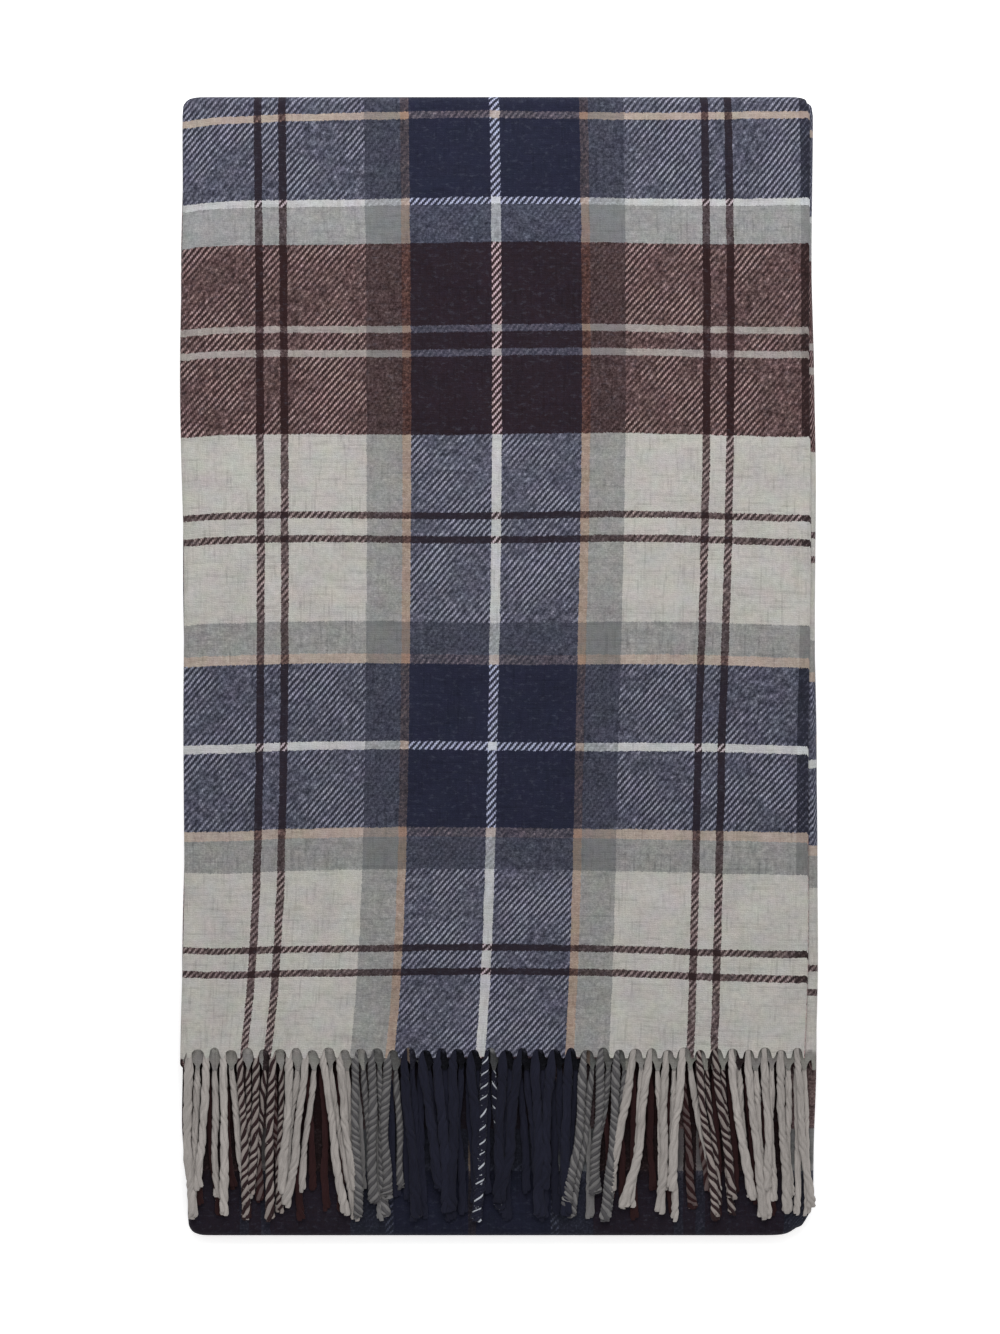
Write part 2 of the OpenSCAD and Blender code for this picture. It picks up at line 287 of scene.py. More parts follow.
def plaid_material():
    """2/2 twill of the sett, with crowned floats, uneven yarns and a brushed nap. The UV map holds the
    place in the flat cloth, in metres: across it, and along it."""
    material, tree, shader = new_material("plaid_twill")
    place = tree.add("UVMap", uv_map="cloth").outputs[0]
    split = tree.add("SeparateXYZ", {0: place})
    u, v = split.outputs[0], split.outputs[1]

    def centred(scale, detail, seed, rough=0.5):
        """Noise over the flat cloth, about zero."""
        return tree.minus(tree.noise(tree.vector(u, v, seed), scale, detail, rough), 0.5)

    # The yarns wander a little.
    wide_u = tree.line(centred(60, 2, 1.0), 0.0016, u)
    wide_v = tree.line(centred(60, 2, 2.0), 0.0016, v)
    end = tree.math("DIVIDE", wide_u, END_PITCH * MM)
    pick = tree.math("DIVIDE", wide_v, PICK_PITCH * MM)

    # Which yarn lies here: the sett runs back and forth between its two turning stripes. Loose
    # fibres fray the edge of each stripe.
    fray = centred(650, 3, 3.0, 0.7)
    end_at = tree.line(fray, 2.2, end)
    pick_at = tree.line(fray, 2.6, pick)
    warp_at = tree.math("PINGPONG", tree.minus(end_at, PIVOT_U / END_PITCH), WARP_HALF)
    weft_at = tree.math("PINGPONG", tree.minus(pick_at, PIVOT_V / PICK_PITCH), WEFT_HALF)
    warp = stripes(tree, warp_at, 0, 2)
    weft = stripes(tree, weft_at, 1, 3)

    # Each yarn is a little lighter or darker than its neighbours, and changes slowly along itself.
    end_floor = tree.math("FLOOR", end)
    pick_floor = tree.math("FLOOR", pick)
    along_end = tree.noise(tree.vector(end_floor, tree.times(pick, 0.03)), 1.7, 1)
    along_pick = tree.noise(tree.vector(tree.times(end, 0.03), pick_floor, 5.0), 1.7, 1)

    # Twill: the floats step one end for each pick. Over 0.5 the warp is on the face. The nap blurs
    # the steps where the cloth was brushed most, and where the yarns are close in tone.
    wave = tree.math("SINE", tree.times(tree.math("ADD", end_floor, pick), math.pi / 2))
    light_warp = tree.add("RGBToBW", {0: warp}).outputs[0]
    light_weft = tree.add("RGBToBW", {0: weft}).outputs[0]
    low = tree.math("MINIMUM", light_warp, light_weft)
    high = tree.math("MAXIMUM", light_warp, light_weft)
    contrast = tree.remap(tree.math("DIVIDE", low, high), 0.10, 0.36, 1.0, 0.06)
    contrast = tree.times(contrast, tree.remap(high, 0.2, 0.38, 0.35, 1.0))
    # The worn attribute is painted shade: it flattens the twill here and darkens the cloth below.
    painted_shade = tree.attribute("painted_shade")
    contrast = tree.times(contrast, tree.line(painted_shade, -1.6, 1.0, clamp=True))
    brushed = tree.noise(tree.vector(u, v, 4.0), 26, 4, 0.6)
    sharp = tree.times(tree.remap(brushed, 0.42, 0.58, 0.44, 0.12), contrast)
    bright = tree.math("GREATER_THAN", high, 0.45)
    crisp = tree.times(tree.times(bright, contrast), 0.6)
    sharp = tree.math("MAXIMUM", sharp, crisp)
    smoke = tree.remap(brushed, 0.42, 0.58, 0.30, 0.62)
    fleck = tree.remap(high, 0.2, 0.38, 1.6, 1.15)
    share = tree.line(wave, sharp, 0.5)
    share = tree.line(centred(620, 3, 6.0, 0.75), fleck, share)
    cloud = tree.times(centred(210, 4, 7.0, 0.7), smoke)
    share = tree.line(cloud, 2.3, share)
    share = tree.line(tree.minus(along_end, 0.5), 0.20, share)
    # Darker fibres tint more than their share.
    darker = tree.math("GREATER_THAN", light_warp, light_weft)
    share = tree.minus(share, tree.line(darker, 0.09, -0.03))
    # Where the cloth bends the weft leads. Under the fringe and at the tucked end the warp leads, as
    # painted shade.
    share = tree.math("ADD", share, tree.attribute("lead_and_shade"))
    # At the selvedges the weft covers the warp.
    edge = tree.math("PINGPONG", u, CLOTH_W * MM / 2)
    bound = tree.math("LESS_THAN", edge, SELVEDGE_W * MM)
    share = tree.minus(share, tree.times(bound, 0.42))
    share = tree.math("MAXIMUM", tree.math("MINIMUM", share, 0.96), 0.04)

    # Fibres of both yarns mix in the nap, so the hue is nearly even while the floats still show in
    # lightness.
    even = tree.line(tree.minus(share, 0.5), 0.35, 0.5)
    odd = tree.minus(1.0, even)
    colour = tree.mix(1.0, tree.power(warp, even), tree.power(weft, odd), "MULTIPLY")
    lighter = tree.math("DIVIDE", light_warp, light_weft)
    ratio = tree.math("POWER", lighter, tree.minus(share, even))
    flat = tree.vector(u, v, 8.0)
    smudge = tree.add("TexNoise", {"Vector": flat, "Scale": 75.0, "Detail": 3.0}).outputs[1]
    tint = tree.mix(1.0, smudge, (2, 2, 2, 1), "MULTIPLY")
    colour = tree.mix(0.08, colour, tree.mix(1.0, colour, tint, "MULTIPLY"))
    # Wisps of loose fibre lie over the weave.
    wisp = tree.noise(tree.vector(tree.times(u, 0.6), v, 12.0), 330, 4, 0.75)
    colour = tree.mix(tree.remap(wisp, 0.54, 0.76, 0.0, 0.20), colour, (0.165, 0.185, 0.240, 1.0))

    # The crown of each float, the gaps between yarns darkened as painted shade, and the nap over both.
    crown_end = tree.math("ABSOLUTE", tree.math("SINE", tree.times(end, math.pi)))
    crown_pick = tree.math("ABSOLUTE", tree.math("SINE", tree.times(pick, math.pi)))
    over = tree.line(wave, 0.5, 0.5)
    under = tree.minus(1.0, over)
    crown = tree.line(crown_end, over, tree.times(crown_pick, under))
    nap = tree.noise(tree.vector(tree.times(u, 1.6), v, 9.0), 1300, 4, 0.75)
    blotch = centred(34, 4, 10.0, 0.6)
    shade = tree.line(crown, 0.14, 0.84)
    shade = tree.line(tree.minus(nap, 0.5), 0.75, shade)
    shade = tree.line(blotch, 0.42, shade)
    shade = tree.line(centred(300, 4, 11.0, 0.7), 0.58, shade)
    shade = tree.times(shade, tree.remap(along_end, 0.28, 0.44, 0.84, 1.0))
    shade = tree.times(shade, tree.remap(along_pick, 0.28, 0.44, 0.86, 1.0))
    shade = tree.times(shade, ratio)
    # Painted shade, from the worn attribute.
    shade = tree.times(shade, tree.minus(1.0, painted_shade))
    colour = tree.shaded(colour, shade)

    height = tree.line(crown, 0.8, tree.times(nap, 0.9))
    bump = tree.add("Bump", {"Strength": 0.5, "Distance": 0.0005, "Height": height})
    wool_shader(tree, shader, colour, tree.remap(nap, 0.2, 0.8, 0.99, 0.86), bump, 0.05)
    tree.fill(shader, {"Sheen Tint": (0.86, 0.89, 1.0, 1.0)})
    return material


def yarn_material(name, main, second=None):
    """Loosely twisted wool. second is the colour of the strands whose ply is 1."""
    material, tree, shader = new_material(name)
    place = tree.add("UVMap", uv_map="yarn").outputs[0]
    split = tree.add("SeparateXYZ", {0: place})
    around, along = split.outputs[0], split.outputs[1]
    solid = tree.add("TexCoord").outputs["Object"]
    tone = tree.attribute("tone")
    fleece = tree.noise(solid, 420, 3, 0.65)
    colour = rgba(main)
    if second:
        ply = tree.attribute("ply")
        fray = tree.line(tree.minus(fleece, 0.5), 2.6, ply)
        colour = tree.mix(tree.remap(fray, 0.35, 0.65, 0.0, 1.0), colour, rgba(second))

    # Fibres run along the strand and turn slowly round it.
    spiral = tree.times(along, 2 * math.pi * 24)
    turn = tree.line(around, 2 * math.pi, spiral)
    stretched = tree.times(along, 38)
    ring = tree.vector(tree.math("COSINE", turn), tree.math("SINE", turn), stretched)
    fibre = tree.noise(ring, 2.6, 4, 0.7)
    nap = tree.noise(solid, 1300, 3, 0.75)
    blotch = tree.noise(solid, 75, 3, 0.6)
    shade = tree.line(tree.minus(fibre, 0.5), 0.75, 0.92)
    shade = tree.line(tree.minus(nap, 0.5), 0.45, shade)
    shade = tree.line(tree.minus(blotch, 0.5), 0.45, shade)
    shade = tree.times(shade, tone)
    colour = tree.shaded(colour, shade)
    height = tree.line(fibre, 1.0, tree.times(nap, 0.7))
    bump = tree.add("Bump", {"Strength": 0.55, "Distance": 0.0006, "Height": height})
    wool_shader(tree, shader, colour, tree.remap(nap, 0.2, 0.8, 0.99, 0.85), bump, 0.08)
    return material


# ------ mesh helpers


def add_to_scene(name, data, place=(0.0, 0.0, 0.0)):
    thing = bpy.data.objects.new(name, data)
    thing.location = place
    bpy.context.scene.collection.objects.link(thing)
    return thing


def add_object(name, points, faces, corners, material, uv_name, smooth_count, extra=()):
    """A mesh object whose first smooth_count faces are smooth. points are in millimetres, corners is
    the UV of every face corner, and extra holds (attribute name, one value for each point)."""
    mesh = bpy.data.meshes.new(name)
    mesh.from_pydata((points * MM).tolist(), [], faces)
    layer = mesh.uv_layers.new(name=uv_name)
    layer.data.foreach_set("uv", np.asarray(corners, np.float32).ravel())
    for key, values in extra:
        attribute = mesh.attributes.new(key, "FLOAT", "POINT")
        attribute.data.foreach_set("value", np.asarray(values, np.float32))
    mesh.polygons.foreach_set("use_smooth", [k < smooth_count for k in range(len(faces))])
    mesh.materials.append(material)
    mesh.set_sharp_from_angle(angle=math.radians(50))
    return add_to_scene(name, mesh)


def loop_quads(rows, cols, first=0):
    """Faces between rows rings of cols points, each ring closed."""
    r = np.arange(rows - 1)[:, None]
    c = np.arange(cols)[None, :]
    d = (c + 1) % cols
    quads = np.stack([r * cols + c, r * cols + d, (r + 1) * cols + d, (r + 1) * cols + c], axis=-1)
    return quads.reshape(-1, 4) + first


# ------ the soft set of the whole stack

FOLD_OUT = 7.4  # how far a cross fold stands out past its axis
BOW_REACH = 22.0  # how far in from a side its bow is felt


def settle(x, y, z):
    """Moves points as weight and handling have set the stack: rounded corners, sides that bow, edges
    lower than the middle, and slow waves. It keeps the plies in order."""
    level = z / PANEL_TOP
    left, right = x + SIDE, SIDE - x
    far, near = Y_FAR + FOLD_OUT - y, y - Y_NEAR + FOLD_OUT
    bow_left = -0.6 + 1.2 * np.cos(math.pi * (y + 50) / 275) + 0.7 * np.sin(y / 37 + 7 * level)
    bow_left = bow_left + 4.2 * smooth(-310, -375, y)
    bow_right = -2.0 * smooth(120, 330, y) - 1.0 * smooth(-60, 120, y)
    bow_right = bow_right + 1.3 * hump(y, -215, 50) + 0.7 * np.sin(y / 41 + 6 * level)
    bow_right = bow_right - 2.2 * smooth(-270, -340, y)
    dx = bow_left * fade(left, BOW_REACH) + bow_right * fade(right, BOW_REACH)
    dy = np.zeros_like(dx)
    # Corners: the distance in from each side, the way back in, how far the pull reaches, its size.
    for across, sx, down, sy, reach, size in (
        (left, 1, far, -1, 6.0, 1.6),
        (right, -1, far, -1, 7.0, 2.2),
        (left, 1, near, 1, 7.0, 2.2),
        (right, -1, near, 1, 14.0, 6.2),
    ):
        inward = (np.maximum(across, 0) / reach) ** 2 + (np.maximum(down, 0) / reach) ** 2
        dx = dx + sx * size * np.exp(-inward)
        dy = dy + sy * size * np.exp(-inward)
    droop = sum(fade(edge, 10) for edge in (left, right, far, near))
    dz = z * (0.022 * ripple(x, y, 1.0) - 0.035 * droop)
    return x + dx, y + dy, z + dz


# ------ the cloth's cross-section

LEFT_PLY, LEFT_ARC, CENTRE_PLY, RIGHT_ARC, RIGHT_PLY = range(5)
CENTRE_U = 434.7  # place in the cloth where the centre third begins
ARC_U = 7.85  # cloth taken up by the left long fold before that
CENTRE_SCALE, RIGHT_SCALE = 0.987, 0.985  # cloth for each millimetre across those thirds
SLIP = 23.8  # how far the cloth has slid sideways by the near fold


def face_edge(y):
    """x of the face selvedge, which runs slightly askew."""
    t = (Y_FAR - y) / (Y_FAR - Y_FACE_END)
    return SELVEDGE_FAR + (SELVEDGE_END - SELVEDGE_FAR) * np.clip(t, 0, 1.05) ** 2


def path(parts):
    """(part, fraction along it) of points along the cloth's middle line, from the face selvedge
    inwards. parts holds (part, start, end, number of pitches)."""
    kind, share = [], []
    for part, start, end, count in parts:
        for k in range(count + 1):
            if kind and k == 0:
                continue
            kind.append(part)
            share.append(start + (end - start) * k / count)
    return np.array(kind), np.array(share)


def thick_loop(kind, share, start_round=False, end_round=False):
    """The closed outline round that middle line, with an end rounded where asked: (part, fraction,
    offset along the normal, offset in x, back). Its two sides pair up from its start."""
    bend = np.linspace(0, math.pi, 6)[1:-1]
    rows = [(k, s, HALF, 0.0, 0.0) for k, s in zip(kind, share)]
    if end_round:
        rows += [(kind[-1], share[-1], HALF * math.cos(a), -HALF * math.sin(a), 0.5) for a in bend]
    rows += [(k, s, -HALF, 0.0, 1.0) for k, s in zip(kind[::-1], share[::-1])]
    if start_round:
        rows += [(kind[0], share[0], -HALF * math.cos(a), HALF * math.sin(a), 0.5) for a in bend]
    return np.roll(np.array(rows).T, 2 if start_round else 0, axis=1)


def which_part(kind):
    """Where each part but the last is, for np.select."""
    return [kind == part for part in (LEFT_PLY, LEFT_ARC, CENTRE_PLY, RIGHT_ARC)]


def section(kind, share, off, shift, edge):
    """x and height in the panel of loop points, where edge is x of the face selvedge."""
    end = edge - HALF
    tuck = X_TUCK + HALF
    big, small = (H_LEFT - H_CENTRE) / 2, (H_RIGHT - H_CENTRE) / 2
    turn_l = math.pi * (0.5 + share)
    turn_r = math.pi * (share - 0.5)
    x = np.select(
        which_part(kind),
        [
            end + share * (X_LEFT - end),
            X_LEFT + (big + off) * np.cos(turn_l),
            X_LEFT + share * (X_RIGHT - X_LEFT) + 0 * end,
            X_RIGHT + (small + off) * np.cos(turn_r) + 0 * end,
        ],
        X_RIGHT + share * (tuck - X_RIGHT) + 0 * end,
    )
    h = np.select(
        which_part(kind),
        [
            H_LEFT + off,
            H_CENTRE + big + (big + off) * np.sin(turn_l),
            H_CENTRE - off,
            H_CENTRE + small + (small + off) * np.sin(turn_r),
        ],
        H_RIGHT + off,
    )
    return x + shift, h + 0 * x


def cloth_u(kind, share, x, y, panel):
    """Place across the flat cloth, from the face selvedge. panel runs from 2, the top, to 0, the
    base."""
    slip = SLIP * np.clip((2 - panel) * smooth(Y_FAR, Y_NEAR, y) + (panel < 1), 0, 1)
    t = np.clip((Y_FAR - y) / (Y_FAR - Y_FACE_END), 0, 1.03)
    # Stripes on the face lean towards the fold near the fringe.
    lean_left = 2.1 * np.sin(math.pi * t) - 9.6 * t**8
    lean_right = 2.7 * np.maximum(np.sin(math.pi * t / 0.65), 0) * (t < 0.65) - 9.6 * t**2
    blend = smooth(-170, 170, x)
    lean = (lean_left + (lean_right - lean_left) * blend) * smooth(X_LEFT - 4, X_LEFT + 45, x)
    lean = lean * (1 - 0.35 * smooth(SIDE - 40, SIDE - 8, x))
    face = SELVEDGE_FAR - 0.7 - x + lean
    face = np.where(face > PIVOT_U, PIVOT_U + (face - PIVOT_U) * CENTRE_SCALE, face)
    left_end = CENTRE_U - ARC_U + slip
    plain = share * left_end
    top = smooth(1.2, 2.0, panel)
    left = face * top + plain * (1 - top)
    centre_end = CENTRE_U + slip + (X_RIGHT - X_LEFT) * CENTRE_SCALE
    right_start = CLOTH_W - (X_RIGHT - X_TUCK) * RIGHT_SCALE
    return np.select(
        which_part(kind),
        [
            left,
            left_end + share * ARC_U,
            CENTRE_U + slip + (x - X_LEFT) * CENTRE_SCALE,
            centre_end + share * (right_start - centre_end),
        ],
        CLOTH_W - (x - X_TUCK) * RIGHT_SCALE - 10.4 * smooth(X_TUCK, -100, x) * smooth(X_RIGHT, 110, x),
    )


FACE_V = -Y_FACE_END  # y of the fringe end, as a length along the cloth
FAR_V = Y_FAR + FACE_V
TURN_V = 22.0  # cloth round the outside of a cross fold
MIDDLE_V, MIDDLE_SCALE = FAR_V + TURN_V, 1.0672  # the scale eases the stripes into place
NEAR_V = MIDDLE_V + (Y_FAR - Y_NEAR) * MIDDLE_SCALE
BASE_V = NEAR_V + TURN_V
BACK_V = 2 * PICK_PITCH  # the back's floats lie two picks on from the front's


def sway(x, y, kind, share):
    """How far the picks run low on the face, from handling. It dies out past the left fold."""
    x = np.maximum(x, X_LEFT)
    t = np.clip((Y_FAR - y) / (Y_FAR - Y_FACE_END), 0, 1.03)
    corner = 5.5 * fade(x + SIDE, 24) * (1 - t) ** 2
    curve = 1.7 * ((x - 14) / 206) ** 2 * (1 - t) * (x < 14)
    drop_right = 6.0 * smooth(60, 230, x) * t**1.3
    drop_left = 1.7 * smooth(-140, -195, x) * smooth(0.6, 0.75, t)
    total = corner + curve + drop_right + drop_left + 0.7 * np.sin(x / 41 + y / 90 + 1)
    total = total - 1.7 * hump(y, 97, 34) - 1.7 * hump(y, -201, 40)
    seen = np.where(kind == CENTRE_PLY, 1 - smooth(0, 0.3, share), (kind <= LEFT_ARC) * 1.0)
    return total * seen


def skew(kind, share):
    """How far the plies under the face have slid towards the fringe."""
    rest = np.where(kind >= RIGHT_ARC, 1.0, 0.0)
    return LAYER_STEP * np.where(kind == CENTRE_PLY, smooth(0, 0.3, share), rest)


def centre_share(kind, share):
    """1 on the centre third, easing off round the long folds."""
    ease = np.where(kind == LEFT_ARC, smooth(0, 1, share), 1 - smooth(0, 1, share))
    return np.where((kind == LEFT_ARC) | (kind == RIGHT_ARC), ease, (kind == CENTRE_PLY) * 1.0)


# ------ panels, turns and woven ends

TURN_RINGS = 29


def spread(count):
    """Evenly spaced fractions from 0 to 1."""
    return np.linspace(0, 1, count)


def whole_loop(pitch):
    """The loop round all three thirds, with its points about pitch millimetres apart."""
    face_count, other_count = round(428 / pitch), round(430 / pitch)
    parts = [
        (LEFT_PLY, 0, 1, face_count),
        (LEFT_ARC, 0, 1, 8),
        (CENTRE_PLY, 0, 1, other_count),
        (RIGHT_ARC, 0, 1, 6),
        (RIGHT_PLY, 0, 1, other_count),
    ]
    return thick_loop(*path(parts), True, True)


def end_line(kind, share, front, back):
    """y where the cloth ends: at front for the left third and at back for the others, easing round
    the left fold."""
    ease = np.where(kind == LEFT_ARC, smooth(0, 1, share), np.where(kind == LEFT_PLY, 0.0, 1.0))
    return front + (back - front) * ease


def tassel_x(k, third):
    """x of tassel k. The tucked third's tassels lie between the others."""
    return -SIDE + (k + (1.0 if third == "right" else 0.5)) * TASSEL_PITCH


def scallop(x, kind, depth):
    """How far the cloth's end draws back between two tassels, as a round arch."""
    offset = np.where(kind == RIGHT_PLY, 1.0, 0.5)
    phase = (x + SIDE) / TASSEL_PITCH - offset
    phase = np.abs(phase - np.round(phase))
    number = np.round((x + SIDE) / TASSEL_PITCH)
    wide = 0.385 + 0.045 * np.sin(number * 2.3)
    inside = np.clip((0.5 - phase) / wide, 0, 1)
    arch = np.sqrt(np.clip(1 - inside**2.6, 0, 1)) * (1 + 0.14 * np.sin(number * 3.7))
    flat = (kind == LEFT_ARC) | (kind == RIGHT_ARC)
    return np.where(flat, 0.0, depth * arch)


def strip(name, rows, painted_shade=0.0, lead_and_shade=0.0):
    """A closed thick strip of the plaid cloth. rows are (x, y, z, u, v) arrays, one for each ring.
    worn is how far each point is darkened as painted shade, and lead how much more of the warp shows
    there, which under the fringe and at the tucked end is also painted shade."""
    grid = np.stack([np.stack(row[:3], axis=-1) for row in rows])
    uv = np.stack([np.stack(row[3:], axis=-1) for row in rows]) * MM
    count, cols = grid.shape[:2]
    x, y, z = settle(grid[..., 0], grid[..., 1], grid[..., 2])
    points = np.stack([x, y, z], axis=-1).reshape(-1, 3)
    quads = loop_quads(count, cols)
    # The loop's two sides face each other, so an end is closed by quads between them.
    a = np.arange(cols // 2 - 1)
    cap = np.stack([a, cols - 1 - a, cols - 2 - a, a + 1], axis=-1)
    faces = np.concatenate([quads, cap[:, ::-1], cap + (count - 1) * cols])
    corners = uv.reshape(-1, 2)[faces.ravel()]
    extra = [
        ("painted_shade", np.broadcast_to(painted_shade, (count, cols)).ravel()),
        ("lead_and_shade", np.broadcast_to(lead_and_shade, (count, cols)).ravel()),
    ]
    return add_object(name, points, faces.tolist(), corners, plaid, "cloth", len(quads), extra)


def panel_rows(loop, steps, panel, start, stop, depth=0.0):
    """Rings of a flat panel at fractions steps of the way from start to stop. Each of these is y for
    the left third and y for the others. depth is that of the arches at the end."""
    kind, share, off, shift, rear = loop
    edge = SELVEDGE_FAR if panel == 2 else SELVEDGE_HIDDEN
    arch = scallop(section(kind, share, off, shift, edge)[0], kind, depth)
    first = end_line(kind, share, *start)
    last = end_line(kind, share, *stop) + (arch if panel == 2 else -arch)
    rows = []
    for t in steps:
        y = first + t * (last - first)
        edge = face_edge(y) if panel == 2 else SELVEDGE_HIDDEN
        x, h = section(kind, share, off, shift, edge)
        if panel == 2:
            z = 2 * PANEL_PITCH + h
            v = y + FACE_V + sway(x, y, kind, share) + skew(kind, share)
        elif panel == 1:
            z = PANEL_PITCH + (2 * PLY_PITCH + THICK - h)
            v = MIDDLE_V + (Y_FAR - y) * MIDDLE_SCALE
        else:
            z = h
            v = BASE_V + (y - Y_NEAR)
        u = cloth_u(kind, share, x, y, panel)
        rows.append((x, y, z, u, v + rear * BACK_V))
    return rows


def near_turn_rows(loop):
    """Rings round the cross fold between the base and middle panels."""
    kind, share, off, shift, rear = loop
    x, h = section(kind, share, off, shift, SELVEDGE_HIDDEN)
    reach = NEAR_AXIS - h
    u = cloth_u(kind, share, x, Y_NEAR, 1.0)
    rows = []
    for t in spread(TURN_RINGS):
        y = Y_NEAR - reach * math.sin(math.pi * t)
        z = NEAR_AXIS - reach * math.cos(math.pi * t)
        v = BASE_V + (NEAR_V - BASE_V) * t
        rows.append((x, y, z, u, v + rear * BACK_V))
    return rows


def far_turn_rows(loop):
    """Rings round the cross fold between the middle and top panels."""
    kind, share, off, shift, rear = loop
    rows = []
    for t in spread(TURN_RINGS):
        x, h = section(kind, share, off, shift, SELVEDGE_HIDDEN + (SELVEDGE_FAR - SELVEDGE_HIDDEN) * t)
        reach = PANEL_GAP / 2 + h
        y = Y_FAR + reach * math.sin(math.pi * t)
        z = FAR_AXIS - reach * math.cos(math.pi * t)
        u_low = cloth_u(kind, share, x, Y_FAR, 1.0)
        u_high = cloth_u(kind, share, x, Y_FAR, 2.0)
        v = MIDDLE_V + (FAR_V - MIDDLE_V) * t
        v = v + (sway(x, y, kind, share) + skew(kind, share)) * t
        rows.append((x, y, z, u_low + (u_high - u_low) * t, v + rear * BACK_V))
    return rows


plaid = plaid_material()

BAND = 14.0  # depth of the strip at a woven end that has the finer mesh
TURN_SHADE = 0.30  # painted shade on the near cross fold beside the fringe
LEAD = -0.34  # and how much less of the warp shows there
UNDER_SHADE = 0.62  # painted shade on the cloth that lies under the fringe
UNDER_SHADE_LEAD = 0.32  # and how much more of the warp shows there, which darkens it as painted shade
TONGUE = 5.0  # how far the face cloth runs down into the roots of its tassels

TOP_BAND_START = (Y_FACE_END + BAND, Y_HIDDEN_END + BAND)
BASE_BAND_START = (Y_BASE_END - BAND, Y_BASE_END - BAND)
ACROSS = 114  # pitches from one long fold to the other, round a cross fold
# Each third round a cross fold: its parts, and whether it starts and ends in a round selvedge.
TURN_PARTS = {
    "left": ([(LEFT_PLY, 0, 1, ACROSS), (LEFT_ARC, 0, 0.5, 4)], True, False),
    "centre": ([(LEFT_ARC, 0.5, 1, 4), (CENTRE_PLY, 0, 1, ACROSS), (RIGHT_ARC, 0, 0.5, 3)],),
    "right": ([(RIGHT_ARC, 0.5, 1, 3), (RIGHT_PLY, 0, 1, ACROSS)], False, True),
}


def make_top_cloth():
    loop = whole_loop(3.76)
    rows = panel_rows(loop, spread(110), 2, (Y_FAR, Y_FAR), TOP_BAND_START)
    return strip("top_panel_cloth", rows)


def make_middle_cloth():
    loop = whole_loop(6.0)
    t = spread(100)
    rows = panel_rows(loop, t, 1, (Y_FAR, Y_FAR), (Y_NEAR, Y_NEAR))
    # Its last part is darkened with painted shade, first where it lies under the fringe and then beside
    # it.
    begins, shows, led = smooth(0.80, 0.84, t), smooth(0.93, 0.985, t), smooth(0.946, 0.965, t)
    seen = centre_share(loop[0], loop[1])
    painted_shade = np.outer(UNDER_SHADE * begins - (UNDER_SHADE - TURN_SHADE) * shows, seen)
    lead_and_shade = np.outer(UNDER_SHADE_LEAD * begins + (LEAD - UNDER_SHADE_LEAD) * led, seen)
    return strip("middle_panel_cloth", rows, painted_shade, lead_and_shade)


def make_base_cloth():
    loop = whole_loop(6.0)
    rows = panel_rows(loop, spread(90), 0, (Y_NEAR, Y_NEAR), BASE_BAND_START)
    return strip("base_panel_cloth", rows)


def make_top_band():
    loop = whole_loop(TASSEL_PITCH / 12)
    steps = spread(19)
    stop = (Y_FACE_END - TONGUE, Y_HIDDEN_END - 1)
    rows = panel_rows(loop, steps, 2, TOP_BAND_START, stop, depth=6.5)
    # The tucked third's end is darkened with painted shade, as the face shades it, most of all in the
    # middle.
    tucked_end = np.outer(smooth(0.0, 0.3, steps), loop[0] >= RIGHT_ARC)
    shaded = 0.5 + 0.38 * smooth(64, 54, np.abs(rows[0][0]))
    return strip("top_woven_end", rows, shaded * tucked_end, 0.25 * tucked_end)


def make_base_band():
    loop = whole_loop(TASSEL_PITCH / 6)
    rows = panel_rows(loop, spread(9), 0, BASE_BAND_START, (Y_BASE_END, Y_BASE_END), depth=5.0)
    return strip("base_woven_end", rows)


def make_turns():
    """The two cross folds, one strip for each third: {(side, third): piece}."""
    pieces = {}
    for side, turn_rows in (("near", near_turn_rows), ("far", far_turn_rows)):
        for third, (parts, *rounds) in TURN_PARTS.items():
            loop = thick_loop(*path(parts), *rounds)
            # The near fold's centre third gets painted shade, and its weft leads.
            seen = centre_share(loop[0], loop[1]) if side == "near" else 0.0
            rows = turn_rows(loop)
            pieces[side, third] = strip(f"{side}_turn_{third}", rows, TURN_SHADE * seen, LEAD * seen)
    return pieces


top_cloth = make_top_cloth()
middle_cloth = make_middle_cloth()
base_cloth = make_base_cloth()
top_band = make_top_band()
base_band = make_base_band()
turns = make_turns()

# ------ the fringe

TASSEL_LEN = 106.0
TASSEL_VARY = 11.0  # how much longer or shorter one tassel is than that
TASSEL_TURN, ROW_TURN = 137.5, 61.0  # degrees from tassel to tassel and from row to row
ROOT = 4.0  # length of a tassel within the cloth
FULLNESS = {"marled": 0.88, "navy": 1.16}  # a yarn's width, where it isn't that of the others


